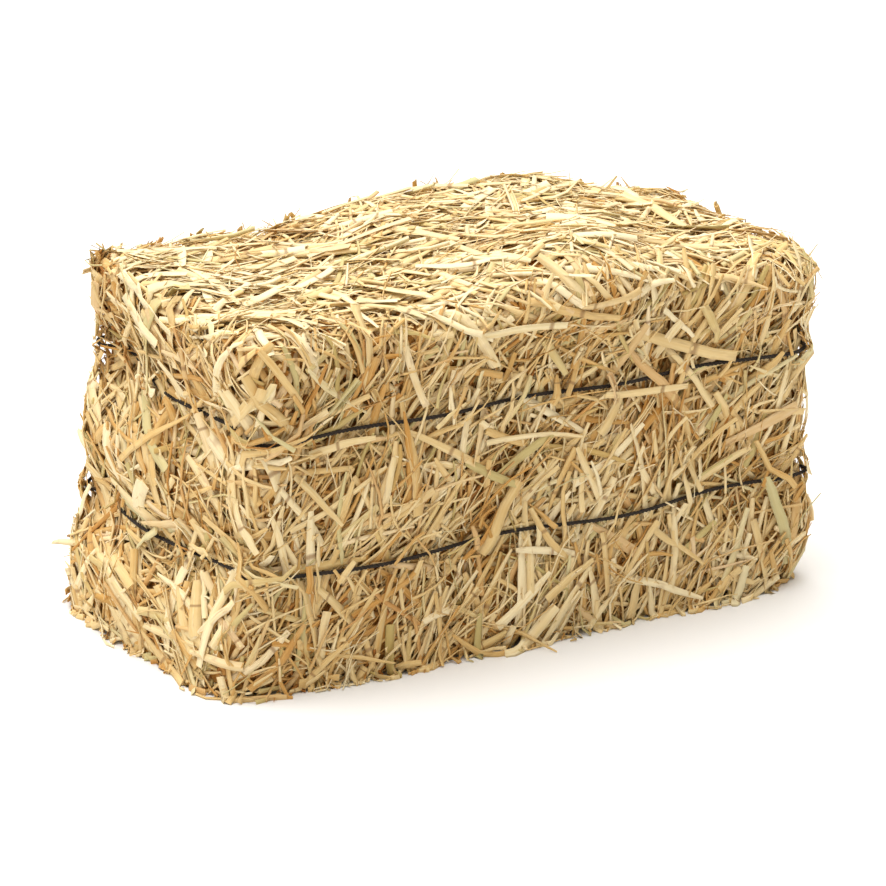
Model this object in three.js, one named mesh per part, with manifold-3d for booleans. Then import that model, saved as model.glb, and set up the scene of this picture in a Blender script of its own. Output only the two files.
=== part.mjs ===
// Square straw bale: one block of pressed straw, tied by two loops of dark twine.
// Millimetres, +Z up. X runs along the bale, Y across it, and the long front side faces -Y.
// The origin is at the middle of the flat underside.
import * as THREE from 'three';
import { mergeVertices } from 'three/addons/utils/BufferGeometryUtils.js';
import Module from 'manifold-3d';

// Block of straw, measured between its bulges
const LENGTH = 494;
const DEPTH = 244;
const HEIGHT = 258;
const EDGE_RADIUS = 20;
const BASE_SINK = 18;            // the rounded underside is pressed flat by this much

// How the block departs from a plain box
const TOP_CROWN = { reach: 24, middle: 40, spread: 110 };   // swell of the top along the length
const CORNER_LIFTS = [           // corners by their side in X, Y and Z
  { corner: [-1, 1, 1], reach: 16, middle: 0, spread: 80 },
  { corner: [1, -1, -1], reach: 14, middle: 0, spread: 80 },
];
const LOW_FLARE = { reach: 15, middle: 0.2 * HEIGHT, spread: 0.22 * HEIGHT };   // at both ends
const HIGH_FLARE = { reach: 8, middle: 0.9 * HEIGHT, spread: 0.14 * HEIGHT };   // at the +X end
const LUMP_DEPTH = 5;
const LUMP_WAVES = 7;
const LUMP_LENGTH = { least: 90, most: 210 };

// Twine, and how far it bites into the straw
const TWINE_DIAMETER = 3;
const TWINE_SIDES = 6;
const TWINE_GAP = 0.8;
const TWINE_HEIGHTS = { upper_twine: 0.72 * HEIGHT, lower_twine: 0.335 * HEIGHT };
const BITE_ON_SIDES = 6;
const BITE_ON_ENDS = 18;
const BITE_ON_FAR_CORNERS = 14;  // added towards the back of each end
const BITE_SPREAD = 26;
const KNOT_RADIUS = 4;
const KNOT_STAND = 5;            // from the straw to the middle of the knot
const KNOT_PLACES = { upper_twine: 0.16 * LENGTH, lower_twine: -0.11 * LENGTH };
const KNOT_STEPS = 26;
const TAIL = { across: 15, drop: 12, arch: 3, steps: 4 };

// Rows and columns of the block's facets; a row follows each twine
const COLUMNS = { x: 18, y: 9 };
const ROW_HEIGHTS = [-BASE_SINK, 0, 22, 45, 68, TWINE_HEIGHTS.lower_twine, 112, 138, 162,
  TWINE_HEIGHTS.upper_twine, 208, 228, 245, HEIGHT];

// Straw stems that stand out of the surface
const STEM_LENGTH = { least: 26, most: 92 };
const STEM_WIDTH = { least: 6, most: 11 };
const STEM_THICKNESS = 6;
const STEM_LIFT = 0.1;           // rise of a stem out of the surface, per length
const STRAY_LIFT = 0.2;
const STRAY_EVERY = 8;
const STEM_KEEP_OFF = 16;        // from the twine
const GRAIN_SPREAD = 0.8;        // radians either side of the grain
const STEM_FACES = [
  { normal: [0, -1, 0], grain: [0.35, 0, 1], count: 33 },
  { normal: [0, 1, 0], grain: [0.3, 0, 1], count: 33 },
  { normal: [-1, 0, 0], grain: [0, 0.35, 1], count: 17 },
  { normal: [1, 0, 0], grain: [0, 0.2, 1], count: 17 },
  { normal: [0, 0, 1], grain: [1, -0.25, 0], count: 32 },
];
const SEED = 20;

const STRAW = new THREE.MeshStandardMaterial({ color: 0xd2ab6c, roughness: 0.75, metalness: 0 });
const TWINE = new THREE.MeshStandardMaterial({ color: 0x2e2118, roughness: 0.85, metalness: 0 });

const wasm = await Module();
wasm.setup();

// Joining and cutting

function solid(geometry) {
  const bare = geometry.clone();
  bare.deleteAttribute('normal');
  bare.deleteAttribute('uv');
  const merged = mergeVertices(bare, 1e-4);
  return new wasm.Manifold(new wasm.Mesh({
    numProp: 3,
    vertProperties: merged.attributes.position.array,
    triVerts: new Uint32Array(merged.index.array),
  }));
}

function geometryOf(manifold) {
  const { vertProperties, triVerts } = manifold.getMesh();
  const geometry = new THREE.BufferGeometry();
  geometry.setAttribute('position', new THREE.BufferAttribute(vertProperties, 3));
  geometry.setIndex(new THREE.BufferAttribute(triVerts, 1));
  geometry.computeVertexNormals();
  return geometry;
}

// A repeatable source of chance, from 0 to 1
function makeChance(seed) {
  let state = seed;
  return () => {
    state = (state + 0x6d2b79f5) | 0;
    let t = Math.imul(state ^ (state >>> 15), 1 | state);
    t = (t + Math.imul(t ^ (t >>> 7), 61 | t)) ^ t;
    return ((t ^ (t >>> 14)) >>> 0) / 2 ** 32;
  };
}
const chance = makeChance(SEED);
const SPREAD_STEPS = [0.8192, 0.6711, 0.5497];
let spreadTurn = 0;
function spread() {              // places that fill a space evenly, each from -1 to 1
  spreadTurn += 1;
  return new THREE.Vector3(...SPREAD_STEPS.map((step) => 2 * ((spreadTurn * step) % 1) - 1));
}
const between = ({ least, most }) => least + (most - least) * chance();
const eitherWay = (most) => most * (2 * chance() - 1);
const bell = (distance, width) => Math.exp(-((distance / width) ** 2));
const swellAt = (place, { reach, middle, spread: width }) => reach * bell(place - middle, width);

// Form of the block

const UP = new THREE.Vector3(0, 0, 1);
const MIDDLE = new THREE.Vector3(0, 0, (HEIGHT - BASE_SINK) / 2);
const HALF = new THREE.Vector3(LENGTH, DEPTH, HEIGHT + BASE_SINK).divideScalar(2);
const INNER = HALF.clone().subScalar(EDGE_RADIUS);

const lumpWaves = Array.from({ length: LUMP_WAVES }, () => {
  const direction = new THREE.Vector3(eitherWay(1), eitherWay(1), eitherWay(1)).normalize();
  return { wave: direction.multiplyScalar((2 * Math.PI) / between(LUMP_LENGTH)), phase: eitherWay(Math.PI) };
});
const lump = (p) => (LUMP_DEPTH / Math.sqrt(LUMP_WAVES))
  * lumpWaves.reduce((sum, { wave, phase }) => sum + Math.sin(wave.dot(p) + phase), 0);

function bite({ y, z: height }, facing) {
  const onEnds = BITE_ON_ENDS + BITE_ON_FAR_CORNERS * THREE.MathUtils.smoothstep(y / HALF.y, 0, 1);
  const depth = BITE_ON_SIDES + (onEnds - BITE_ON_SIDES) * facing.x ** 2;
  const nearness = Object.values(TWINE_HEIGHTS)
    .reduce((sum, twine) => sum + bell(height - twine, BITE_SPREAD), 0);
  return depth * Math.hypot(facing.x, facing.y) * nearness;
}

// Takes a point on the plain box to the straw's surface, and gives the way it faces there
function skin(boxPoint) {
  const local = boxPoint.clone().sub(MIDDLE);
  const inside = local.clone().clamp(INNER.clone().negate(), INNER);
  const facing = local.clone().sub(inside).normalize();
  const height = boxPoint.z;
  const crown = Math.max(facing.z, 0) * swellAt(local.x, TOP_CROWN);
  const rise = EDGE_RADIUS + crown + lump(boxPoint) - bite(boxPoint, facing);
  const point = inside.addScaledVector(facing, rise).add(MIDDLE);
  for (const lift of CORNER_LIFTS) {
    const tip = HALF.clone().multiply(new THREE.Vector3(...lift.corner));
    point.z += swellAt(local.distanceTo(tip), lift);
  }
  point.x += facing.x * swellAt(height, LOW_FLARE);
  point.x += Math.max(facing.x, 0) * swellAt(height, HIGH_FLARE);
  return { point, facing };
}

function block() {
  const rows = ROW_HEIGHTS.length - 1;
  const geometry = new THREE.BoxGeometry(LENGTH, DEPTH, rows, COLUMNS.x, COLUMNS.y, rows);
  const positions = geometry.attributes.position;
  for (let i = 0; i < positions.count; i += 1) {
    const height = ROW_HEIGHTS[Math.round(positions.getZ(i) + rows / 2)];
    const { point } = skin(new THREE.Vector3(positions.getX(i), positions.getY(i), height));
    positions.setXYZ(i, point.x, point.y, point.z);
  }
  return solid(geometry);
}

// Straw stems, half sunk in the block and clear of the twine

function stemPlace({ normal, grain }, lift) {
  const out = new THREE.Vector3(...normal);
  const reach = INNER.clone().addScalar(EDGE_RADIUS / 3);
  const spot = spread().multiply(reach);
  spot.addScaledVector(out, Math.abs(HALF.dot(out)) - spot.dot(out)).add(MIDDLE);
  const { point, facing } = skin(spot);
  const direction = new THREE.Vector3(...grain).applyAxisAngle(out, eitherWay(GRAIN_SPREAD));
  direction.addScaledVector(facing, -direction.dot(facing)).normalize();
  direction.addScaledVector(facing, lift).normalize();
  const gaps = Object.values(TWINE_HEIGHTS).map((twine) => Math.abs(spot.z - twine) - STEM_KEEP_OFF);
  const room = out.z > 0 ? Infinity : (2 * Math.min(...gaps)) / Math.abs(direction.z);
  return { point, facing, direction, room };
}

// A stem is a flattened ridge; strays lift one end clear of the surface
function stem(face, index) {
  const lift = index % STRAY_EVERY === 0 ? STRAY_LIFT : eitherWay(STEM_LIFT);
  let place = stemPlace(face, lift);
  while (place.room < STEM_LENGTH.least) place = stemPlace(face, lift);
  const { point, facing, direction, room } = place;
  const length = Math.min(between(STEM_LENGTH), room);
  const width = between(STEM_WIDTH);
  const section = new THREE.Shape([
    new THREE.Vector2(-width / 2, -STEM_THICKNESS / 2),
    new THREE.Vector2(width / 2, -STEM_THICKNESS / 2),
    new THREE.Vector2(0, STEM_THICKNESS / 2),
  ]);
  const ridge = new THREE.ExtrudeGeometry(section, { depth: length, bevelEnabled: false });
  const side = new THREE.Vector3().crossVectors(facing, direction).normalize();
  const basis = new THREE.Matrix4().makeBasis(side, direction.clone().cross(side), direction);
  return solid(ridge.translate(0, 0, -length / 2).applyMatrix4(basis.setPosition(point)));
}

// Twine: a closed loop along a row of the block, tied in a knot on the far side

class Loop extends THREE.Curve {
  constructor(points) {
    super();
    this.points = points;
  }

  getPoint(t, target = new THREE.Vector3()) {
    const place = (((t % 1) + 1) % 1) * this.points.length;
    const from = Math.floor(place) % this.points.length;
    const to = (from + 1) % this.points.length;
    return target.lerpVectors(this.points[from], this.points[to], place - Math.floor(place));
  }

  getUtoTmapping(u) {
    return u;
  }
}

function loop(height) {
  const corners = [[-1, -1, COLUMNS.x], [1, -1, COLUMNS.y], [1, 1, COLUMNS.x], [-1, 1, COLUMNS.y]];
  const row = corners.flatMap(([x, y, steps], i) => {
    const [nextX, nextY] = corners[(i + 1) % corners.length];
    return Array.from({ length: steps }, (_, k) => skin(new THREE.Vector3(
      HALF.x * THREE.MathUtils.lerp(x, nextX, k / steps),
      HALF.y * THREE.MathUtils.lerp(y, nextY, k / steps),
      height,
    )).point);
  });
  const points = row.map((point, i) => {
    const along = row[(i + 1) % row.length].clone().sub(row.at(i - 1));
    const outward = along.cross(UP).normalize();
    return point.clone().addScaledVector(outward, TWINE_DIAMETER / 2 + TWINE_GAP);
  });
  const radius = TWINE_DIAMETER / 2;
  return solid(new THREE.TubeGeometry(new Loop(points), points.length, radius, TWINE_SIDES, true));
}

function knot(x, height) {
  const { point, facing } = skin(new THREE.Vector3(x, HALF.y, height));
  const spot = point.addScaledVector(facing, KNOT_STAND);
  const turns = new THREE.TorusKnotGeometry(KNOT_RADIUS, TWINE_DIAMETER / 2, KNOT_STEPS, TWINE_SIDES, 2, 3);
  turns.rotateX(Math.PI / 2).translate(spot.x, spot.y, spot.z);
  const section = new THREE.Shape().absarc(0, 0, TWINE_DIAMETER / 2, 0, 2 * Math.PI);
  const tails = [-1, 1].map((way) => {
    const start = spot.clone().add(new THREE.Vector3(way * KNOT_RADIUS, TWINE_GAP, 0));
    const end = start.clone().add(new THREE.Vector3(way * TAIL.across, TWINE_GAP, -TAIL.drop));
    const bend = start.clone().lerp(end, 0.5).add(new THREE.Vector3(0, TAIL.arch, TAIL.arch));
    return solid(new THREE.ExtrudeGeometry(section, {
      curveSegments: TWINE_SIDES / 2,
      steps: TAIL.steps,
      bevelEnabled: false,
      extrudePath: new THREE.QuadraticBezierCurve3(start, bend, end),
    }));
  });
  return tails.reduce((sum, tail) => sum.add(tail), solid(turns));
}

// Assembly

const bale = new THREE.Group();
const add = (name, manifold, material) => {
  const mesh = new THREE.Mesh(geometryOf(manifold), material);
  mesh.name = name;
  bale.add(mesh);
};

const stems = STEM_FACES.flatMap((face) => Array.from({ length: face.count }, (_, i) => stem(face, i)));
const floor = solid(new THREE.BoxGeometry(2 * LENGTH, 2 * DEPTH, HEIGHT).translate(0, 0, -HEIGHT / 2));
add('straw', stems.reduce((sum, one) => sum.add(one), block()).subtract(floor), STRAW);
for (const [name, height] of Object.entries(TWINE_HEIGHTS)) {
  add(name, loop(height).add(knot(KNOT_PLACES[name], height)), TWINE);
}

// The origin goes to the middle of the underside
const box = new THREE.Box3().setFromObject(bale);
const middle = box.getCenter(new THREE.Vector3());
bale.position.set(-middle.x, -middle.y, -box.min.z);

const part = new THREE.Group();
part.add(bale);
export default part;
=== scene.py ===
import math

import bmesh
import bpy
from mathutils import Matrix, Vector


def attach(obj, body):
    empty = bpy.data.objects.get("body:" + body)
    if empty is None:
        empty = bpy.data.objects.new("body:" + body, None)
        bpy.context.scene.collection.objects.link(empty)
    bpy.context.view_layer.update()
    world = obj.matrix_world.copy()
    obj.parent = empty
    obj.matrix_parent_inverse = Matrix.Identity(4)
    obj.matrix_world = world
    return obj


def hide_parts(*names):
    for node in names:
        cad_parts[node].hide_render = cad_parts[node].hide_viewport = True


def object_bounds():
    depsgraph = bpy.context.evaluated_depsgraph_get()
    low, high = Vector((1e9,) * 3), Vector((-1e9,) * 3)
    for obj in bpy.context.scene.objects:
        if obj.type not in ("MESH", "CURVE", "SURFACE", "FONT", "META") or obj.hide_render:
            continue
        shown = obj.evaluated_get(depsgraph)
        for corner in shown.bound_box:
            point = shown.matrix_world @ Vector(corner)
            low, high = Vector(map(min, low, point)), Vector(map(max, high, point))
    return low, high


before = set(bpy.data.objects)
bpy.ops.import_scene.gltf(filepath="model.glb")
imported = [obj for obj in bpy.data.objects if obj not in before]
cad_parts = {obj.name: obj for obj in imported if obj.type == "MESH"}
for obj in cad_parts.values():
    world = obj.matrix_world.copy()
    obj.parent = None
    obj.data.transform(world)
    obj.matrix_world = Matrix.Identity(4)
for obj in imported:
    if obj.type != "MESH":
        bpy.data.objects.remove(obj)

cad_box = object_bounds()


# Packed straw: the heart of the bale, stems and chaff rammed together until the block keeps its
# own form. Of this only chaff shows, down in the gaps between the outer stems, in a dark orange-brown
# that is painted shade and warm bounce light for the gaps as well as the chaff's own colour.
CORE_INSET = 0.008                # the outer stems fill this much of the block, all round
FORM_VOXEL = 0.010
LIGHT_PASSES = 2
HEAVY_PASSES = 8
LONE_STEM_LIMIT = 0.006           # the solid's lone stems are planed off at this height
SKIRT = 0.05                      # the form runs on below the floor, so that its foot stays square
FOOT_LEVEL = 0.0005
# the chaff's colours, dark and orange: painted shade and warm bounce light down in the gaps
CHAFF_AND_SHADE_TONES = [(0.32, (0.36, 0.140, 0.016, 1)), (0.5, (0.50, 0.225, 0.040, 1)),
    (0.72, (0.60, 0.315, 0.080, 1))]
CHAFF_GRAIN = 380
MERGE_DISTANCE = 1e-5
SMOOTHING = 0.5


class Wire:
    """The output of a node. Sums on wires are written as expressions, and each adds its node."""

    def __init__(self, graph, socket):
        self.graph = graph
        self.socket = socket
        self.is_vector = socket.type in ("VECTOR", "RGBA")

    def out(self, name):
        return Wire(self.graph, pick(self.socket.node.outputs, name))

    def __add__(self, other):
        return self.graph.math("ADD", self, other)

    def __radd__(self, other):
        return self.graph.math("ADD", other, self)

    def __sub__(self, other):
        return self.graph.math("SUBTRACT", self, other)

    def __rsub__(self, other):
        return self.graph.math("SUBTRACT", other, self)

    def __mul__(self, other):
        if self.is_vector and not is_vector(other):
            return self.graph.math("SCALE", self, other)
        if is_vector(other) and not self.is_vector:
            return self.graph.math("SCALE", other, self)
        return self.graph.math("MULTIPLY", self, other)

    __rmul__ = __mul__

    def __truediv__(self, other):
        return self.graph.math("DIVIDE", self, other)

    def __rtruediv__(self, other):
        return self.graph.math("DIVIDE", other, self)

    def __pow__(self, other):
        return self.graph.math("POWER", self, other)

    def __gt__(self, other):
        return self.graph.math("GREATER_THAN", self, other)

    def __lt__(self, other):
        return self.graph.math("LESS_THAN", self, other)


class Graph:
    """A node tree being wired up: node() makes any node, and math() a node of arithmetic."""

    def __init__(self, tree):
        self.tree = tree

    def node(self, kind, settings=(), values=(), output=0):
        made = self.tree.nodes.new(kind)
        for name, value in dict(settings).items():
            if name == "stops":
                set_stops(made.color_ramp, value)
            else:
                setattr(made, name, value)
        for name, value in dict(values).items():
            self.feed(pick(made.inputs, name), value)
        return Wire(self, pick(made.outputs, output))

    def feed(self, socket, value):
        if isinstance(value, Wire):
            self.tree.links.new(value.socket, socket)
        elif socket.type == "VECTOR" and not is_vector(value):
            socket.default_value = (value,) * 3
        else:
            socket.default_value = value

    def math(self, operation, *operands):
        kind = "ShaderNodeVectorMath" if any(map(is_vector, operands)) else "ShaderNodeMath"
        return self.node(kind, {"operation": operation}, enumerate(operands))

    def mix(self, share, first, second, kind="RGBA"):
        return self.node("ShaderNodeMix", {"data_type": kind}, {"Factor": share, "A": first, "B": second})

    def vector(self, x=0.0, y=0.0, z=0.0):
        return self.node("ShaderNodeCombineXYZ", {}, {"X": x, "Y": y, "Z": z})

    def noise(self, place, scale=1.0, detail=2.0):
        return self.node("ShaderNodeTexNoise", {}, {"Vector": place, "Scale": scale, "Detail": detail})

    def ramp(self, value, stops):
        return self.node("ShaderNodeValToRGB", {"stops": stops}, {"Fac": value})

    def rise(self, value, low, high, most=1.0):
        """From 0 where value is low to most where it is high."""
        return self.node("ShaderNodeMapRange", {}, {
            "Value": value, "From Min": low, "From Max": high, "To Max": most})

    def attribute(self, name):
        return self.node("ShaderNodeAttribute", {"attribute_name": name}, output="Fac")


def is_vector(value):
    return value.is_vector if isinstance(value, Wire) else hasattr(value, "__len__")


def pick(sockets, key):
    live = [socket for socket in sockets if socket.enabled]
    return live[key] if isinstance(key, int) else next(s for s in live if s.name == key)


def set_stops(ramp, stops):
    while len(ramp.elements) < len(stops):
        ramp.elements.new(1)
    for element, (place, colour) in zip(ramp.elements, stops):
        element.position = place
        element.color = colour


def new_material(name):
    material = bpy.data.materials.new(name)
    material.use_nodes = True
    return material, Graph(material.node_tree), material.node_tree.nodes["Principled BSDF"]


# The chaff's colour doubles as painted shade in the gaps between the outer stems.
def chaff_with_painted_shade():
    material, graph, shader = new_material("chaff_with_painted_shade")
    place = graph.node("ShaderNodeTexCoord", output="Object")
    grain = graph.noise(place, CHAFF_GRAIN, 3)
    graph.feed(shader.inputs["Base Color"], graph.ramp(grain, CHAFF_AND_SHADE_TONES))
    graph.feed(shader.inputs["Normal"], graph.node("ShaderNodeBump", {}, {
        "Strength": 0.8, "Distance": 0.002, "Height": grain}))
    shader.inputs["Roughness"].default_value = 0.9
    return material


def add_object(name, data):
    made = bpy.data.objects.new(name, data)
    bpy.context.scene.collection.objects.link(made)
    return made


def plain_mesh(holder):
    """Turns an object's evaluated shape into its own plain mesh, with no modifiers left."""
    depsgraph = bpy.context.evaluated_depsgraph_get()
    shape = holder.evaluated_get(depsgraph)
    mesh = bpy.data.meshes.new_from_object(shape, preserve_all_data_layers=True, depsgraph=depsgraph)
    holder.modifiers.clear()
    holder.data = mesh


def merged_copy(node):
    shape = bmesh.new()
    shape.from_mesh(node.data)
    bmesh.ops.remove_doubles(shape, verts=shape.verts, dist=MERGE_DISTANCE)
    return shape


def made_object(name, shape):
    mesh = bpy.data.meshes.new(name)
    shape.to_mesh(mesh)
    shape.free()
    return add_object(name, mesh)


def smoothed(shape, passes):
    for _ in range(passes):
        bmesh.ops.smooth_vert(shape, verts=shape.verts, factor=SMOOTHING, use_axis_x=True,
            use_axis_y=True, use_axis_z=True)
    return [vertex.co.copy() for vertex in shape.verts]


def bale_form():
    """The bale's outline without its lone stems, set in by the depth of the outer straw."""
    shape = merged_copy(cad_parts["straw"])
    for vertex in shape.verts:
        if vertex.co.z < FOOT_LEVEL:
            vertex.co.z -= SKIRT
    form = made_object("bale_form", shape)
    remesh = form.modifiers.new("even", "REMESH")
    remesh.mode = "VOXEL"
    remesh.voxel_size = FORM_VOXEL
    plain_mesh(form)
    shape = bmesh.new()
    shape.from_mesh(form.data)
    kept = smoothed(shape, LIGHT_PASSES)
    smoothed(shape, HEAVY_PASSES)
    shape.normal_update()
    for vertex, surface in zip(shape.verts, kept):
        stands_out = (surface - vertex.co).dot(vertex.normal) - LONE_STEM_LIMIT
        vertex.co = surface - vertex.normal * (CORE_INSET + max(stands_out, 0))
    shape.to_mesh(form.data)
    shape.free()
    return form


def packed_core(form):
    """The form cut off just above the floor, where the straw underneath begins."""
    shape = bmesh.new()
    shape.from_mesh(form.data)
    everything = shape.verts[:] + shape.edges[:] + shape.faces[:]
    cut = bmesh.ops.bisect_plane(shape, geom=everything, plane_co=(0, 0, CORE_INSET),
        plane_no=(0, 0, -1), clear_outer=True)
    rim = [edge for edge in cut["geom_cut"] if isinstance(edge, bmesh.types.BMEdge)]
    base = bmesh.ops.contextual_create(shape, geom=rim)
    bmesh.ops.triangulate(shape, faces=base["faces"])
    bmesh.ops.recalc_face_normals(shape, faces=shape.faces)
    core = made_object("packed_straw", shape)
    core.data.materials.clear()
    core.data.materials.append(chaff_with_painted_shade())
    return core


form = bale_form()
core = packed_core(form)
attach(core, "root")
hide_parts("straw")


# Straw: the outer stems, leaf blades and chaff of threshed cereal, flattened by the baler's ram.
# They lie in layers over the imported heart, one end tucked in, held by pressure and by the twine.
SIDES = {
    "front": {"Facing": (0, -1, 0), "Grain": (0.4, 0, 1), "Spread": 1.0, "Wild share": 0.48,
        "Broadness": 1.0, "Paleness": 0.0},
    "back": {"Facing": (0, 1, 0), "Grain": (-0.4, 0, 1), "Spread": 1.0, "Wild share": 0.48,
        "Broadness": 1.0, "Paleness": 0.0},
    "left_end": {"Facing": (-1, 0, 0), "Grain": (0, 0.6, 1), "Spread": 1.0, "Wild share": 0.72,
        "Broadness": 1.3, "Paleness": 0.0},
    "right_end": {"Facing": (1, 0, 0), "Grain": (0, 0.3, 1), "Spread": 1.0, "Wild share": 0.4,
        "Broadness": 1.2, "Paleness": 0.0},
    # the top's straw is painted paler: painted light from above
    "top": {"Facing": (0, 0, 1), "Grain": (1, -0.7, 0), "Spread": 1.2, "Wild share": 0.58,
        "Broadness": 1.0, "Paleness": 0.2},
    "underside": {"Facing": (0, 0, -1), "Grain": (1, 0.2, 0), "Spread": 0.9, "Wild share": 0.3,
        "Broadness": 1.15, "Paleness": 0.0},
}
LAYERS = {
    "chaff": {
        "Density": 17000, "Gap": 0.0018, "Length least": 0.010, "Length most": 0.032,
        "Width least": 0.0018, "Width most": 0.0042, "Flatness": 0.3, "Gutter": 0.0, "Hollow": 0.0,
        "Height least": -0.001, "Height most": 0.0042, "Lift": 0.002, "Sink": 0.001, "Bow": 0.3,
        "Kink": 0.2,
        "Twist": 0.6, "Stiffness": 0.0, "Cross share": 0.0, "Taper": 0.6,
        # the chaff lies deepest, and its darker tones are painted shade down among the stems
        "Tone least": 0.02, "Tone most": 0.6, "Points": 3, "Faces round": 4, "Atlas low": 0.0,
        "Atlas high": 0.17,
    },
    "stems": {
        "Density": 16500, "Gap": 0.0022, "Length least": 0.018, "Length most": 0.074,
        "Width least": 0.0020, "Width most": 0.0070, "Flatness": 0.26, "Gutter": 0.0, "Hollow": 0.0,
        "Height least": 0.001, "Height most": 0.0074, "Lift": 0.004, "Sink": 0.004, "Bow": 0.14,
        "Kink": 0.14,
        "Twist": 0.8, "Stiffness": 0.3, "Cross share": 0.08, "Taper": 0.75,
        "Tone least": 0.3, "Tone most": 0.95, "Points": 5, "Faces round": 6, "Atlas low": 0.17,
        "Atlas high": 0.7,
    },
    "wisps": {
        "Density": 3600, "Gap": 0.004, "Length least": 0.018, "Length most": 0.060,
        "Width least": 0.0010, "Width most": 0.0020, "Flatness": 0.5, "Gutter": 0.0, "Hollow": 0.0,
        "Height least": 0.004, "Height most": 0.0086, "Lift": 0.005, "Sink": 0.004, "Bow": 0.5,
        "Kink": 0.3,
        "Twist": 0.5, "Stiffness": 0.25, "Cross share": 0.15, "Taper": 0.95,
        "Tone least": 0.3, "Tone most": 1.0, "Points": 5, "Faces round": 3, "Atlas low": 0.7,
        "Atlas high": 0.8,
    },
    "blades": {
        "Density": 800, "Gap": 0.009, "Length least": 0.036, "Length most": 0.086,
        "Width least": 0.0056, "Width most": 0.0100, "Flatness": 0.1, "Gutter": 0.2, "Hollow": 0.0,
        "Height least": 0.0056, "Height most": 0.0088, "Lift": 0.003, "Sink": 0.004, "Bow": 0.06,
        "Kink": 0.06,
        "Twist": 0.6, "Stiffness": 0.3, "Cross share": 0.1, "Taper": 0.6,
        "Tone least": 0.55, "Tone most": 1.0, "Points": 7, "Faces round": 6, "Atlas low": 0.8,
        "Atlas high": 0.9,
    },
    "split_stems": {
        "Density": 320, "Gap": 0.012, "Length least": 0.018, "Length most": 0.050,
        "Width least": 0.0040, "Width most": 0.0062, "Flatness": 0.8, "Gutter": 0.0, "Hollow": 1.0,
        "Height least": 0.0056, "Height most": 0.0080, "Lift": 0.007, "Sink": 0.006, "Bow": 0.1,
        "Kink": 0.1,
        "Twist": 0.3, "Stiffness": 0.5, "Cross share": 0.1, "Taper": 0.0,
        "Tone least": 0.5, "Tone most": 0.95, "Points": 4, "Faces round": 12, "Atlas low": 0.9,
        "Atlas high": 0.94,
    },
    "strays": {
        "Density": 900, "Gap": 0.007, "Length least": 0.022, "Length most": 0.060,
        "Width least": 0.0010, "Width most": 0.0042, "Flatness": 0.3, "Gutter": 0.0, "Hollow": 0.0,
        "Height least": 0.003, "Height most": 0.0080, "Lift": 0.0165, "Sink": 0.006, "Bow": 0.4,
        "Kink": 0.3,
        "Twist": 0.8, "Stiffness": 0.8, "Cross share": 0.0, "Taper": 0.9,
        "Tone least": 0.4, "Tone most": 1.0, "Points": 5, "Faces round": 5, "Atlas low": 0.94,
        "Atlas high": 0.97,
    },
}
LAID_BLADES = {                   # where each runs from and to on its side, and its width
    "front": [
        ((-0.025, 0.255), (0.047, 0.236), 0.0070), ((0.039, 0.233), (0.164, 0.186), 0.0100),
        ((-0.063, 0.236), (0.005, 0.241), 0.0070), ((0.016, 0.250), (0.067, 0.252), 0.0060),
        ((-0.068, 0.145), (-0.015, 0.118), 0.0075), ((-0.052, 0.161), (0.035, 0.154), 0.0050),
        ((0.047, 0.182), (0.122, 0.177), 0.0065), ((0.095, 0.234), (0.125, 0.211), 0.0050),
        ((0.134, 0.232), (0.146, 0.208), 0.0080), ((0.187, 0.146), (0.226, 0.139), 0.0060),
        ((-0.123, 0.236), (-0.109, 0.194), 0.0060), ((0.070, 0.040), (0.145, 0.010), 0.0070),
        ((0.003, 0.036), (0.041, 0.060), 0.0070), ((-0.210, 0.160), (-0.172, 0.122), 0.0060),
        ((0.098, 0.076), (0.143, 0.042), 0.0060),
    ],
    "left_end": [
        ((-0.095, 0.182), (-0.128, 0.216), 0.0090), ((-0.045, 0.268), (-0.077, 0.250), 0.0095),
        ((0.000, 0.275), (-0.024, 0.245), 0.0075), ((0.060, 0.242), (0.006, 0.224), 0.0075),
        ((0.066, 0.268), (-0.013, 0.250), 0.0075), ((-0.089, 0.240), (-0.114, 0.214), 0.0075),
        ((-0.047, 0.251), (-0.056, 0.222), 0.0090), ((0.035, 0.149), (-0.033, 0.200), 0.0065),
        ((0.004, 0.166), (-0.013, 0.134), 0.0065), ((-0.066, 0.034), (-0.105, 0.080), 0.0075),
        ((-0.094, 0.131), (-0.115, 0.098), 0.0075), ((0.044, 0.056), (-0.012, 0.030), 0.0075),
    ],
    "top": [
        ((-0.236, -0.040), (-0.198, -0.099), 0.0080), ((-0.154, -0.070), (-0.106, -0.084), 0.0065),
        ((-0.024, -0.001), (0.017, -0.055), 0.0065), ((0.031, -0.084), (0.094, -0.094), 0.0060),
        ((-0.200, 0.054), (-0.179, -0.005), 0.0065),
    ],
}
LAID_OVER = {"Height least": 0.0078, "Height most": 0.0090, "Cross share": 1.0, "Atlas low": 0.97,
    "Atlas high": 1.0}
UNDERSIDE_SHARE = 0.45            # of the straw on an open side; the floor hides it
SIDE_SEED = 1000
LAYER_SEED = 100
FACING_LIMIT = 0.6                # cosine: a side's stems reach this far round its edges
WANDER = 1.4                      # radians: neighbours lean together, in drifts
DRIFT_SIZE = 0.045
THIN_LEANING = 1.7                # power: more of the stems are thin than thick
PRESS_REACH = 0.012               # the twine presses what lies this near
CORNER_COVER = 0.97               # share of stems laid over the twine at the upright edges
EDGE_RANGE = (0.5, 0.8)           # sine of twice a stem's angle round an upright edge
EDGE_RISE = 0.004                 # the twine stands out further there
UNDER_TWINE = 0.0068
OVER_TWINE = 0.0135
FLOOR_CLEARANCE = 0.0012
SPLAY = 0.9                       # straw that meets the floor turns outwards along it
SPLAY_LIMIT = 0.008
FLAKE_SCALE = (32, 32, 11)        # per metre: the baler packs the straw in upright flakes
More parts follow.
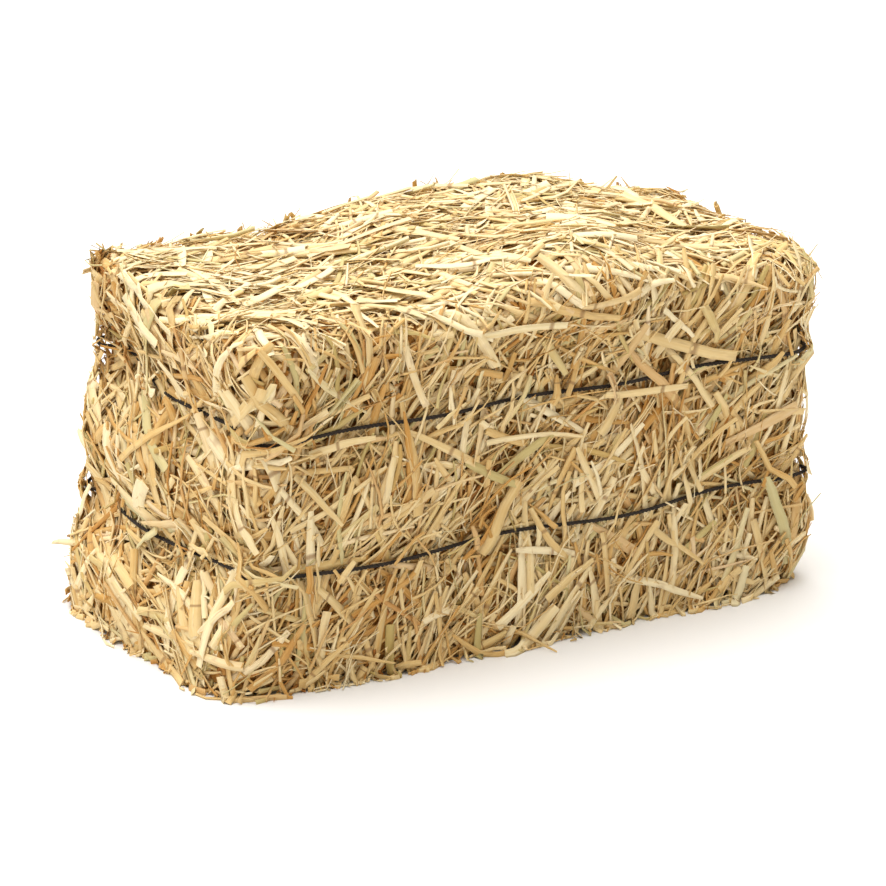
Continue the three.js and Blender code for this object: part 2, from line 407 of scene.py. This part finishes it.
FLAKE_FOLD_SHADING = 0.9                  # paler and darker upright bands: painted light and shade on the folds between the flakes
SLIT_ANGLE = 0.5                  # radians: half the opening of a split stem
SPLIT_WALL = 0.62                 # inner over outer size of a split stem
WIDTH_WOBBLE = 0.4
CELL_INSET = 0.06                 # of a stem's place in the atlas of stems
CELL_ASPECT = 4
CLOSING_STEP = 0.3                # a corner this far behind its face's middle closes the turn
HALF_ROUND = 0.49                 # past this share of the ring, a split stem's wall turns inwards

# straw colours; the dark end is a deep orange that also paints in the warm bounce light in the shade
# between stems
STRAW_AND_SHADE_TONES = [
    (0.0, (0.40, 0.145, 0.016, 1)),
    (0.25, (0.57, 0.290, 0.060, 1)),
    (0.5, (0.70, 0.475, 0.185, 1)),
    (0.75, (0.80, 0.610, 0.305, 1)),
    (1.0, (0.90, 0.760, 0.480, 1)),
]
GREEN_STRAW = (0.43, 0.40, 0.15, 1)
RUSTY_STRAW = (0.60, 0.33, 0.13, 1)
STAIN = (0.38, 0.20, 0.065, 1)
JOINT = (0.30, 0.15, 0.05, 1)
JOINT_SHARE = 0.3                 # of the stems show a joint of the stalk
JOINT_RANGE = (0.035, 0.01)       # of the stem's length, from its edge to full colour
GREEN_RANGE = (0.84, 1)           # of the random tint
RUSTY_RANGE = (0.16, 0)
STAIN_RANGE = (0.58, 0.8)         # of the blotches
FIBRE_CONTRAST = 0.65
BLOTCH_CONTRAST = 0.35


def dry_straw():
    material, graph, shader = new_material("dry_straw")
    tone, tint, along, around = map(graph.attribute, ("tone", "tint", "along", "around"))

    def streaks(across, lengthwise, seed):
        return graph.noise(graph.vector(around * across, along * lengthwise, tint * seed), 1, 3)

    def part_of(value):
        return graph.math("FRACT", value)

    fibre = streaks(9, 1.2, 90)
    blotch = streaks(1.5, 3.5, 170)
    colour = graph.ramp(tone + (fibre - 0.5) * FIBRE_CONTRAST + (blotch - 0.5) * BLOTCH_CONTRAST,
        STRAW_AND_SHADE_TONES)
    colour = graph.mix(graph.rise(tint, *GREEN_RANGE, 0.6), colour, GREEN_STRAW)
    colour = graph.mix(graph.rise(tint, *RUSTY_RANGE, 0.5), colour, RUSTY_STRAW)
    colour = graph.mix(graph.rise(blotch, *STAIN_RANGE, 0.7), colour, STAIN)
    from_joint = graph.math("ABSOLUTE", along - 0.15 - 0.7 * part_of(tint * 17.3))
    has_joint = part_of(tint * 41.7) < JOINT_SHARE
    colour = graph.mix(graph.rise(from_joint, *JOINT_RANGE, 0.75) * has_joint, colour, JOINT)
    graph.feed(shader.inputs["Base Color"], colour)
    graph.feed(shader.inputs["Roughness"], 0.55 + fibre * 0.3)
    graph.feed(shader.inputs["Normal"], graph.node("ShaderNodeBump", {}, {
        "Strength": 0.25, "Distance": 0.0005, "Height": fibre}))
    return material


class Growth(Graph):
    """A Geometry Nodes tree with named inputs, whose random draws are each numbered."""

    def __init__(self, name, sizes):
        super().__init__(bpy.data.node_groups.new(name, "GeometryNodeTree"))
        face = self.tree.interface
        face.new_socket("Geometry", in_out="INPUT", socket_type="NodeSocketGeometry")
        for size, kind in sizes.items():
            face.new_socket(size, in_out="INPUT", socket_type="NodeSocket" + kind)
        face.new_socket("Geometry", in_out="OUTPUT", socket_type="NodeSocketGeometry")
        self.entry = self.node("NodeGroupInput")
        self.draws = 0

    def given(self, name):
        return self.entry.out(name)

    def chance(self, least=0.0, most=1.0):
        self.draws += 1
        seed = self.given("Seed") + self.draws
        return self.node("FunctionNodeRandomValue", {}, {"Min": least, "Max": most, "Seed": seed})

    def drawn(self, size):
        return self.chance(self.given(size + " least"), self.given(size + " most"))

    def keep(self, geometry, **fields):
        """Fixes each field's value on the points, and returns the geometry and the fixed values."""
        made = self.tree.nodes.new("GeometryNodeCaptureAttribute")
        self.feed(made.inputs[0], geometry)
        for name, field in fields.items():
            made.capture_items.new("VECTOR" if field.is_vector else "FLOAT", name)
            self.feed(made.inputs[name], field)
        return Wire(self, made.outputs[0]), [Wire(self, made.outputs[name]) for name in fields]

    def store(self, geometry, name, value, kind="FLOAT", domain="POINT"):
        return self.node("GeometryNodeStoreNamedAttribute", {"data_type": kind, "domain": domain},
                         {"Geometry": geometry, "Name": name, "Value": value})

    def moved(self, geometry, place):
        return self.node("GeometryNodeSetPosition", {}, {"Geometry": geometry, "Position": place})

    def face_mean(self, value):
        return self.node("GeometryNodeFieldOnDomain", {"data_type": "FLOAT", "domain": "FACE"},
            {"Value": value})

    def unwrapped(self, turn):
        """A share of a turn, with 1 in place of 0 on the faces that close the turn."""
        return turn + ((self.face_mean(turn) - turn) > CLOSING_STEP)

    def finish(self, geometry):
        real = self.node("GeometryNodeRealizeInstances", {}, {"Geometry": geometry})
        dressed = self.node("GeometryNodeSetMaterial", {}, {"Geometry": real,
            "Material": self.given("Material")})
        exit_node = self.tree.nodes.new("NodeGroupOutput")
        self.feed(exit_node.inputs["Geometry"], dressed)
        return self.tree


def bell(graph, distance, reach):
    scaled = distance / reach
    return graph.math("EXPONENT", scaled * scaled * -1)


def line_on_each(g, points, count):
    """A short line on every point, and how far along it each of its own points is."""
    line = g.node("GeometryNodeCurvePrimitiveLine", {}, {"End": (1, 0, 0)})
    line = g.node("GeometryNodeResampleCurve", {}, {"Curve": line, "Count": count})
    lines = g.node("GeometryNodeInstanceOnPoints", {}, {"Points": points, "Instance": line})
    lines = g.node("GeometryNodeRealizeInstances", {}, {"Geometry": lines})
    lines, (along,) = g.keep(lines, along=g.node("GeometryNodeSplineParameter", output="Factor"))
    return lines, along


def atlas_cell(g, points, number, along, around, low, high):
    """Unrolls each stem into a cell of its own, in a band of the atlas."""
    total = g.node("GeometryNodeAttributeDomainSize", {"component": "POINTCLOUD"}, {"Geometry": points})
    band = high - low
    columns = g.math("CEIL", g.math("SQRT", total / (band * CELL_ASPECT)))
    rows = g.math("CEIL", total / columns)
    row = g.math("FLOOR", number / columns)
    column = number - row * columns
    inset = 1 - 2 * CELL_INSET
    return g.vector((column + CELL_INSET + along * inset) / columns,
                    low + band * (row + CELL_INSET + g.unwrapped(around) * inset) / rows)


def scattered(g, surface, outward):
    """Places straw at random on the side of a surface that faces one way."""
    place = g.node("GeometryNodeInputPosition")
    above_floor = g.node("ShaderNodeSeparateXYZ", {}, {"Vector": place}, "Z") > FLOOR_CLEARANCE
    on_side = g.math("DOT_PRODUCT", outward, g.given("Facing")) > FACING_LIMIT
    points = g.node("GeometryNodeDistributePointsOnFaces", {"distribute_method": "POISSON"}, {
        "Mesh": surface, "Selection": on_side * above_floor, "Distance Min": g.given("Gap"),
        "Density Max": g.given("Density"), "Seed": g.given("Seed")})
    normal = points.out("Normal")
    drift = g.noise(place, 1 / DRIFT_SIZE, 1)
    lean = (drift - 0.5) * (2 * WANDER) + (g.chance() + g.chance() - 1) * g.given("Spread")
    wild = g.chance() < g.given("Wild share")
    lean = lean + wild * g.chance(-math.pi / 2, math.pi / 2)
    grain = g.given("Grain")
    lay = g.math("NORMALIZE", grain - normal * g.math("DOT_PRODUCT", grain, normal))
    across = g.math("CROSS_PRODUCT", normal, lay)
    way = lay * g.math("COSINE", lean) + across * g.math("SINE", lean)
    span = g.given("Width most") - g.given("Width least")
    width = (g.given("Width least") + span * g.chance() ** THIN_LEANING) * g.given("Broadness")
    return g.keep(points, place=place, normal=normal, way=way, length=g.drawn("Length"), width=width)


def middle_lines(g, points, spots, surface, outward):
    """The middle line of each stem, bent to the surface, under the twine and out along the floor."""
    place, normal, way, length = spots
    sides = g.node("ShaderNodeSeparateXYZ", {}, {"Vector": normal})
    on_edge = g.math("ABSOLUTE", sides.out("X") * sides.out("Y") * 2)
    share_over = g.given("Cross share") + g.rise(on_edge, *EDGE_RANGE, CORNER_COVER)
    over_height = OVER_TWINE + g.rise(on_edge, *EDGE_RANGE, EDGE_RISE)
    points, kept = g.keep(
        points, height=g.drawn("Height"), lift=g.chance() * g.given("Lift"),
        sink=g.chance() * g.given("Sink"),
        bow=g.chance(-1, 1) * g.given("Bow"), kink=g.chance(-1, 1) * g.given("Kink"),
        kink_at=g.chance(0.25, 0.75),
        stiff=g.chance() * g.given("Stiffness"), over=g.chance() < share_over, over_height=over_height)
    height, lift, sink, bow, kink, kink_at, stiff, over, over_height = kept
    lines, along = line_on_each(g, points, g.given("Points"))
    off_middle = along - 0.5
    bend = off_middle * off_middle * bow + g.math("ABSOLUTE", along - kink_at) * kink
    aside = g.math("CROSS_PRODUCT", normal, way)
    flat = place + way * (off_middle * length) + aside * (bend * length)
    near = g.node("GeometryNodeProximity", {}, {"Geometry": surface, "Sample Position": flat}, "Position")
    facing = g.node("GeometryNodeSampleNearestSurface", {"data_type": "FLOAT_VECTOR"}, {
        "Mesh": surface, "Value": outward, "Sample Position": flat})
    twine = g.node("GeometryNodeCollectionInfo", {}, {"Collection": g.given("Twine")})
    twine = g.node("GeometryNodeRealizeInstances", {}, {"Geometry": twine})
    gap = g.node("GeometryNodeProximity", {}, {
        "Geometry": twine, "Sample Position": near + facing * CORE_INSET}, "Distance")
    pressed = bell(g, gap, PRESS_REACH)
    rise = height + lift * along ** 3 - sink * (1 - along) ** 3
    held = g.math("MINIMUM", rise, UNDER_TWINE)
    held = held + over * (over_height - held)
    rise = rise + (held - rise) * pressed
    spot = g.mix(stiff * (1 - pressed), near + facing * rise, flat + normal * rise, "VECTOR")
    depth = FLOOR_CLEARANCE - g.node("ShaderNodeSeparateXYZ", {}, {"Vector": spot}, "Z")
    depth = g.math("MAXIMUM", depth, 0.0)
    level = normal * (1, 1, 0)
    spot = spot + level * g.math("MINIMUM", depth * SPLAY, SPLAY_LIMIT) + g.vector(z=depth)
    return points, g.moved(lines, spot), along, facing


def ring_section(g):
    """The cross-section: a squashed tube, a gutter for a blade, or a split stem's open wall."""
    ring = g.node("GeometryNodeCurvePrimitiveCircle", {}, {"Resolution": g.given("Faces round"),
        "Radius": 1})
    ring, (around,) = g.keep(ring, around=g.node("GeometryNodeSplineParameter", output="Factor"))
    ring = g.store(ring, "around", around)
    inside = (around > HALF_ROUND) * g.given("Hollow")
    swept = around + g.given("Hollow") * (around + inside * (2 - 4 * around))
    open_share = 1 - g.given("Hollow") * (SLIT_ANGLE / math.pi)
    angle = g.given("Hollow") * SLIT_ANGLE + swept * open_share * (2 * math.pi)
    radius = 1 - inside * (1 - SPLIT_WALL)
    across = g.math("SINE", angle) * radius
    level = g.math("COSINE", angle) * radius * g.given("Flatness") + across * across * g.given("Gutter")
    return g.moved(ring, g.vector(level, across)), around


def stem_bodies(g, points, spots, width, surface, outward):
    # upright bands of painted light and shade, for the folds between the flakes
    fold_shading = g.noise(spots[0] * FLAKE_SCALE, 1, 1) - 0.5
    # each stem's tone takes its side's painted light
    points, kept = g.keep(
        points, roll=g.chance(-0.5, 0.5), twist=g.chance(-1, 1) * g.given("Twist"),
        taper=g.chance() * g.given("Taper"),
        tone=g.drawn("Tone") + g.given("Paleness") + fold_shading * FLAKE_FOLD_SHADING, tint=g.chance(),
        number=g.node("GeometryNodeInputIndex") + 0.0)
    roll, twist, taper, tone, tint, number = kept
    points, lines, along, facing = middle_lines(g, points, spots, surface, outward)
    tangent = g.node("GeometryNodeInputTangent")
    turn = g.node("FunctionNodeAxisAngleToRotation", {}, {"Axis": tangent,
        "Angle": roll + twist * (along - 0.5)})
    up = g.node("FunctionNodeRotateVector", {}, {"Vector": facing, "Rotation": turn})
    lines, (up,) = g.keep(lines, up=up)
    lines = g.node("GeometryNodeSetCurveNormal", {"mode": "FREE"}, {"Curve": lines, "Normal": up})
    wobble = g.noise(g.vector(along * 2.5, tint * 90), 1, 1) - 0.5
    thin = width * 0.5 * (1 - taper * along ** 3) * (1 + wobble * WIDTH_WOBBLE)
    for name, value in (("tone", tone), ("tint", tint), ("along", along)):
        lines = g.store(lines, name, value)
    ring, around = ring_section(g)
    mesh = g.node("GeometryNodeCurveToMesh", {}, {
        "Curve": lines, "Profile Curve": ring, "Scale": thin, "Fill Caps": True})
    parts = g.node("ShaderNodeSeparateXYZ", {}, {"Vector": g.node("GeometryNodeInputPosition")})
    on_floor = g.vector(parts.out("X"), parts.out("Y"), g.math("MAXIMUM", parts.out("Z"), 0.0))
    mesh = g.node("GeometryNodeSetShadeSmooth", {}, {"Geometry": g.moved(mesh, on_floor)})
    cell = atlas_cell(g, points, number, along, around, g.given("Atlas low"), g.given("Atlas high"))
    return g.store(mesh, "OFBake", cell, "FLOAT2", "CORNER")


def straw_inputs():
    sizes = dict.fromkeys([*LAYERS["stems"], *SIDES["front"]], "Float")
    sizes.update({"Points": "Int", "Faces round": "Int", "Facing": "Vector", "Grain": "Vector",
        "Form": "Object",
                  "Seed": "Int", "Twine": "Collection", "Material": "Material"})
    return sizes


def straw_layer():
    g = Growth("straw_layer", straw_inputs())
    surface = g.given("Geometry")
    outward = g.node("GeometryNodeInputNormal")
    points, (*spots, width) = scattered(g, surface, outward)
    return g.finish(stem_bodies(g, points, spots, width, surface, outward))


def laid_layer():
    """Lays a blade at each given point, with the way, length and width that the point carries."""
    g = Growth("laid_layer", straw_inputs())
    surface = g.node("GeometryNodeObjectInfo", {}, {"Object": g.given("Form")}, "Geometry")
    outward = g.node("GeometryNodeInputNormal")
    points = g.node("GeometryNodeMeshToPoints", {}, {"Mesh": g.given("Geometry")})
    place = g.node("GeometryNodeInputPosition")
    near = g.node("GeometryNodeProximity", {}, {"Geometry": surface, "Sample Position": place},
        "Position")
    normal = g.node("GeometryNodeSampleNearestSurface", {"data_type": "FLOAT_VECTOR"}, {
        "Mesh": surface, "Value": outward, "Sample Position": place})

    def carried(name, kind):
        return g.node("GeometryNodeInputNamedAttribute", {"data_type": kind}, {"Name": name})

    points, (*spots, width) = g.keep(
        points, place=near, normal=normal, way=carried("way", "FLOAT_VECTOR"),
        length=carried("length", "FLOAT"), width=carried("width", "FLOAT"))
    return g.finish(stem_bodies(g, points, spots, width, surface, outward))


def laid_points(side):
    """A point for each laid blade of a side, carrying the blade's way, length and width."""
    facing = SIDES[side]["Facing"]
    axis = next(i for i in range(3) if facing[i])
    face = cad_box[facing[axis] > 0][axis]
    blades = []
    for start, end, width in LAID_BLADES[side]:
        ends = [Vector((*spot[:axis], face, *spot[axis:])) for spot in (start, end)]
        blades.append((*ends, width))
    mesh = bpy.data.meshes.new(f"laid_{side}")
    mesh.from_pydata([(start + end) / 2 for start, end, _ in blades], [], [])
    for name, kind, key in (("way", "FLOAT_VECTOR", "vector"), ("length", "FLOAT", "value"),
            ("width", "FLOAT", "value")):
        carried = mesh.attributes.new(name, kind, "POINT")
        for spot, (start, end, width) in zip(carried.data, blades):
            values = {"way": (end - start).normalized(), "length": (end - start).length, "width": width}
            setattr(spot, key, values[name])
    return add_object(f"laid_{side}", mesh)


def grown(name, source, tree, inputs):
    """Runs a tree on a copy of source, and leaves its result as a plain mesh."""
    holder = add_object(name, source.data)
    modifier = holder.modifiers.new(name, "NODES")
    modifier.node_group = tree
    for socket in tree.interface.items_tree:
        if socket.in_out == "INPUT" and socket.name in inputs:
            modifier[socket.identifier] = inputs[socket.name]
    plain_mesh(holder)
    return holder


def joined(name, objects):
    whole = objects[0]
    with bpy.context.temp_override(active_object=whole, selected_editable_objects=objects):
        bpy.ops.object.join()
    whole.name = name
    whole.data.name = name
    return whole


twine_group = bpy.data.collections.new("twine")
for name in ("upper_twine", "lower_twine"):
    twine_group.objects.link(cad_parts[name])
straw_tree = straw_layer()
laid_tree = laid_layer()
straw_finish = dry_straw()
for number, (side, way) in enumerate(SIDES.items()):
    surface = core if side == "underside" else form
    share = UNDERSIDE_SHARE if side == "underside" else 1
    layers = []
    for depth, (layer, sizes) in enumerate(LAYERS.items()):
        inputs = {**sizes, **way, "Density": sizes["Density"] * share, "Twine": twine_group,
                  "Seed": SIDE_SEED * (number + 1) + LAYER_SEED * depth, "Material": straw_finish}
        layers.append(grown(f"{layer}_{side}", surface, straw_tree, inputs))
    if side in LAID_BLADES:
        spots = laid_points(side)
        inputs = {**LAYERS["blades"], **way, **LAID_OVER, "Form": form, "Twine": twine_group,
                  "Seed": SIDE_SEED * (number + 1) - LAYER_SEED, "Material": straw_finish}
        layers.append(grown(f"blades_{side}", spots, laid_tree, inputs))
        bpy.data.objects.remove(spots)
    straw = joined(f"straw_{side}", layers)
    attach(straw, "root")
bpy.data.objects.remove(form)


# Twine: two loops of dark three-ply baling twine round the long sides and the ends, drawn tight
# until they sink in the straw, and knotted at the back with the cut ends left standing.
TWINE_DIAMETER = 0.003
PLIES = 3
PLY_RADIUS = TWINE_DIAMETER / 2 / (1 + 2 / math.sqrt(3))
PLY_OFFSET = TWINE_DIAMETER / 2 - PLY_RADIUS
PLY_LAY = 0.010
PLY_STEP = 0.0014
PLY_SIDES = 6
FUZZ_DENSITY = 24000
FUZZ_LENGTH = (0.0015, 0.0055)
FUZZ_RADIUS = 0.00007
FUZZ_POINTS = 4
FUZZ_SIDES = 3
RING_SIDES = 6                    # of the solid twine
RING_EDGE = 0.002
KNOT_CROWDING = 0.009             # the rings of the solid knot lie this close together
KNOT_RADIUS = 0.004
KNOT_STAND = 0.0027               # out from the loop
KNOT_STEPS = 48
TAIL_ACROSS = 0.015
TAIL_DROP = 0.012
TAIL_ARCH = 0.003
TAIL_STEPS = 6
ATLAS_ROWS = 14                   # a ply's length is cut into this many rows of the atlas
FUZZ_BAND = 0.88
ROW_END = 0.999                   # keeps the last stretch in the last row
TWINE_TONES = [(0.3, (0.008, 0.005, 0.003, 1)), (0.6, (0.028, 0.017, 0.010, 1)),
    (0.85, (0.085, 0.052, 0.028, 1))]


def twine_fibre():
    material, graph, shader = new_material("twine_fibre")
    tint, along, around = map(graph.attribute, ("tint", "along", "around"))
    fibre = graph.noise(graph.vector(around * 9, along * 260, tint * 31), 1, 3)
    graph.feed(shader.inputs["Base Color"], graph.ramp(fibre, TWINE_TONES))
    graph.feed(shader.inputs["Roughness"], 0.65 + fibre * 0.3)
    graph.feed(shader.inputs["Normal"], graph.node("ShaderNodeBump", {}, {
        "Strength": 0.6, "Distance": 0.0003, "Height": fibre}))
    return material


def loop_and_knot(node):
    """The middle line of a solid loop of twine, and the middle of its knot."""
    shape = merged_copy(node)
    seen = set()
    rings = []
    for start in shape.verts:
        if start in seen:
            continue
        seen.add(start)
        ring = [start]
        for vertex in ring:
            near = [e.other_vert(vertex) for e in vertex.link_edges if e.calc_length() < RING_EDGE]
            fresh = [other for other in near if other not in seen]
            seen.update(fresh)
            ring += fresh
        rings.append(ring)
    middles = [sum((v.co for v in ring), Vector()) / len(ring)
               for ring in rings if len(ring) == RING_SIDES]
    loop = [m for m in middles if sum((m - other).length < KNOT_CROWDING for other in middles) == 1]
    loop.sort(key=lambda m: math.atan2(m.y, m.x))
    back = max(vertex.co.y for vertex in shape.verts)
    knot_x = [v.co.x for v in shape.verts if v.co.y > back - 2 * KNOT_RADIUS and v.co.y > loop[0].y]
    middle_x = (min(knot_x) + max(knot_x)) / 2
    shape.free()
    beside = sorted(loop, key=lambda m: (m.y < 0, abs(m.x - middle_x)))[:2]
    knot = (beside[0] + beside[1]) / 2
    knot.x = middle_x
    knot.y += KNOT_STAND
    return loop, knot


def knot_turns(middle):
    turns = []
    for step in range(KNOT_STEPS):
        angle = 4 * math.pi * step / KNOT_STEPS
        reach = KNOT_RADIUS * (2 + math.cos(1.5 * angle)) / 2
        depth = KNOT_RADIUS * math.sin(1.5 * angle) / 2
        turns.append(middle + Vector((reach * math.cos(angle), -depth, reach * math.sin(angle))))
    return turns


def tail(middle, way):
    start = middle + Vector((way * KNOT_RADIUS, 0, 0))
    points = []
    for step in range(TAIL_STEPS + 1):
        part = step / TAIL_STEPS
        arch = 4 * TAIL_ARCH * part * (1 - part)
        points.append(start + Vector((way * TAIL_ACROSS * part, arch / 2, arch - TAIL_DROP * part ** 2)))
    return points


def twine_lines(name, node):
    """Edges along the loop, the turns of the knot and its two tails."""
    loop, knot = loop_and_knot(node)
    places = []
    edges = []
    for points, closed in ((loop, True), (knot_turns(knot), True), (tail(knot, -1), False),
            (tail(knot, 1), False)):
        first = len(places)
        places += points
        edges += [(i, i + 1) for i in range(first, len(places) - 1)]
        if closed:
            edges.append((len(places) - 1, first))
    mesh = bpy.data.meshes.new(name)
    mesh.from_pydata(places, edges, [])
    return add_object(name, mesh)


def plied_twine():
    """Lays three plies round a line, and fuzz on the plies."""
    g = Growth("plied_twine", {"Step": "Float", "Lay": "Float", "Ply radius": "Float",
        "Ply offset": "Float",
                               "Fuzz": "Float", "Seed": "Int", "Material": "Material"})
    route = g.node("GeometryNodeMeshToCurve", {}, {"Mesh": g.given("Geometry")})
    route = g.node("GeometryNodeCurveSplineType", {"spline_type": "CATMULL_ROM"}, {"Curve": route})
    route = g.node("GeometryNodeResampleCurve", {"mode": "LENGTH"}, {"Curve": route,
        "Length": g.given("Step")})
    route = g.node("GeometryNodeSetCurveNormal", {"mode": "Z_UP"}, {"Curve": route})
    length = g.node("GeometryNodeSplineLength", output="Length")
    before = g.node("GeometryNodeAccumulateField", {"data_type": "FLOAT", "domain": "CURVE"},
        {"Value": length}, "Trailing")
    route, (along, length, before, total) = g.keep(
        route, along=g.node("GeometryNodeSplineParameter", output="Factor"), length=length, before=before,
        total=before.out("Total"))
    normal = g.node("GeometryNodeInputNormal")
    beside = g.math("CROSS_PRODUCT", g.node("GeometryNodeInputTangent"), normal)
    place = g.node("GeometryNodeInputPosition")
    turns = g.math("ROUND", length / g.given("Lay"))
    ring = g.node("GeometryNodeCurvePrimitiveCircle", {}, {"Resolution": PLY_SIDES,
        "Radius": g.given("Ply radius")})
    ring, (around,) = g.keep(ring, around=g.node("GeometryNodeSplineParameter", output="Factor"))
    ring = g.store(ring, "around", around)
    both = g.tree.nodes.new("GeometryNodeJoinGeometry")
    plies = g.tree.nodes.new("GeometryNodeJoinGeometry")
    for ply in range(PLIES):
        angle = (along * turns + ply / PLIES) * (2 * math.pi)
        out = normal * g.math("COSINE", angle) + beside * g.math("SINE", angle)
        strand = g.moved(route, place + out * g.given("Ply offset"))
        strand = g.store(strand, "along", before + along * length)
        strand = g.store(strand, "tint", (ply + 0.5) / PLIES)
        strand = g.node("GeometryNodeCurveToMesh", {}, {"Curve": strand, "Profile Curve": ring,
            "Fill Caps": True})
        run = (before + g.unwrapped(along) * length) / total * ATLAS_ROWS
        row = g.math("FLOOR", g.face_mean(run) * ROW_END)
        inset = 1 - 2 * CELL_INSET
        cell = g.vector(CELL_INSET + (run - row) * inset,
                        FUZZ_BAND * (row + ply * ATLAS_ROWS + CELL_INSET + g.unwrapped(around) * inset)
                        / (PLIES * ATLAS_ROWS))
        strand = g.store(strand, "OFBake", cell, "FLOAT2", "CORNER")
        g.feed(plies.inputs[0], g.node("GeometryNodeSetShadeSmooth", {}, {"Geometry": strand}))
    plies = Wire(g, plies.outputs[0])
    g.feed(both.inputs[0], plies)
    g.feed(both.inputs[0], fuzz(g, plies))
    return g.finish(Wire(g, both.outputs[0]))


def fuzz(g, plies):
    """Loose fibre ends that stand off the plies."""
    points = g.node("GeometryNodeDistributePointsOnFaces", {}, {
        "Mesh": plies, "Density": g.given("Fuzz"), "Seed": g.given("Seed")})
    loose = g.vector(g.chance(-1, 1), g.chance(-1, 1), g.chance(-1, 1))
    points, (place, normal, way, length, number) = g.keep(
        points, place=g.node("GeometryNodeInputPosition"), normal=points.out("Normal"), way=loose,
        length=g.chance(*FUZZ_LENGTH), number=g.node("GeometryNodeInputIndex") + 0.0)
    hairs, along = line_on_each(g, points, FUZZ_POINTS)
    hairs = g.moved(hairs, place + (normal * 0.5 + way * along) * (along * length))
    for name, value in (("along", number), ("tint", along)):
        hairs = g.store(hairs, name, value)
    ring = g.node("GeometryNodeCurvePrimitiveCircle", {}, {"Resolution": FUZZ_SIDES,
        "Radius": FUZZ_RADIUS})
    ring, (around,) = g.keep(ring, around=g.node("GeometryNodeSplineParameter", output="Factor"))
    ring = g.store(ring, "around", around)
    hairs = g.node("GeometryNodeCurveToMesh", {}, {"Curve": hairs, "Profile Curve": ring,
        "Fill Caps": True})
    cell = atlas_cell(g, points, number, along, around, FUZZ_BAND, 1.0)
    return g.store(hairs, "OFBake", cell, "FLOAT2", "CORNER")


twine_tree = plied_twine()
twine_finish = twine_fibre()
for seed, name in enumerate(("upper_twine", "lower_twine")):
    lines = twine_lines(f"{name}_lines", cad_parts[name])
    cord = grown(f"plied_{name}", lines, twine_tree, {
        "Step": PLY_STEP, "Lay": PLY_LAY, "Ply radius": PLY_RADIUS, "Ply offset": PLY_OFFSET,
        "Fuzz": FUZZ_DENSITY, "Seed": seed, "Material": twine_finish})
    bpy.data.objects.remove(lines)
    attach(cord, "root")
    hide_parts(name)


# Floor, light and camera: a pale studio floor, soft light from above and from the left, and the
# eye three metres off and just over a metre up, to the left of its long front side.
FLOOR_SIZE = 16
FLOOR_COLOUR = (0.82, 0.82, 0.82, 1)
SKY = (1.0, 0.93, 0.80, 1)
SKY_STRENGTH = 0.46
SUNS = {
    "key": {"towards": (0.8, 0.0, -0.8), "strength": 0.58, "angle": 1.4},
    "overhead": {"towards": (0.1, -0.2, -1), "strength": 4.15, "angle": 1.2},
}
AIM = Vector((-0.0052, -0.0011, 0.1151))
AZIMUTH = math.radians(-35.35)
ELEVATION = math.radians(19.0)
DISTANCE = 3.14
FOCAL_PIXELS = 4350
PICTURE_PIXELS = 886
SENSOR = 36
ROLL = 0.0437

floor_mesh = bpy.data.meshes.new("floor")
half = FLOOR_SIZE / 2
floor_mesh.from_pydata([(-half, -half, 0), (half, -half, 0), (half, half, 0),
    (-half, half, 0)], [], [(0, 1, 2, 3)])
floor = add_object("floor", floor_mesh)
floor_finish, _, floor_shader = new_material("pale_floor")
floor_shader.inputs["Base Color"].default_value = FLOOR_COLOUR
floor_shader.inputs["Roughness"].default_value = 0.9
floor_mesh.materials.append(floor_finish)

world = bpy.data.worlds.new("studio")
world.use_nodes = True
world.node_tree.nodes["Background"].inputs["Color"].default_value = SKY
world.node_tree.nodes["Background"].inputs["Strength"].default_value = SKY_STRENGTH
bpy.context.scene.world = world
for name, sun in SUNS.items():
    lamp = bpy.data.lights.new(name, "SUN")
    lamp.energy = sun["strength"]
    lamp.angle = sun["angle"]
    add_object(name, lamp).rotation_euler = Vector(sun["towards"]).to_track_quat("-Z", "Y").to_euler()

out_level = math.cos(ELEVATION)
eye = Vector((math.sin(AZIMUTH) * out_level, -math.cos(AZIMUTH) * out_level, math.sin(ELEVATION)))
lens = bpy.data.cameras.new("camera")
lens.sensor_width = SENSOR
lens.lens = SENSOR * FOCAL_PIXELS / PICTURE_PIXELS
camera = add_object("camera", lens)
camera.location = AIM + eye * DISTANCE
camera.rotation_euler = (-eye).to_track_quat("-Z", "Y").to_euler()
camera.rotation_euler.rotate_axis("Z", ROLL)
bpy.context.scene.camera = camera
bpy.context.scene.view_settings.view_transform = "Standard"
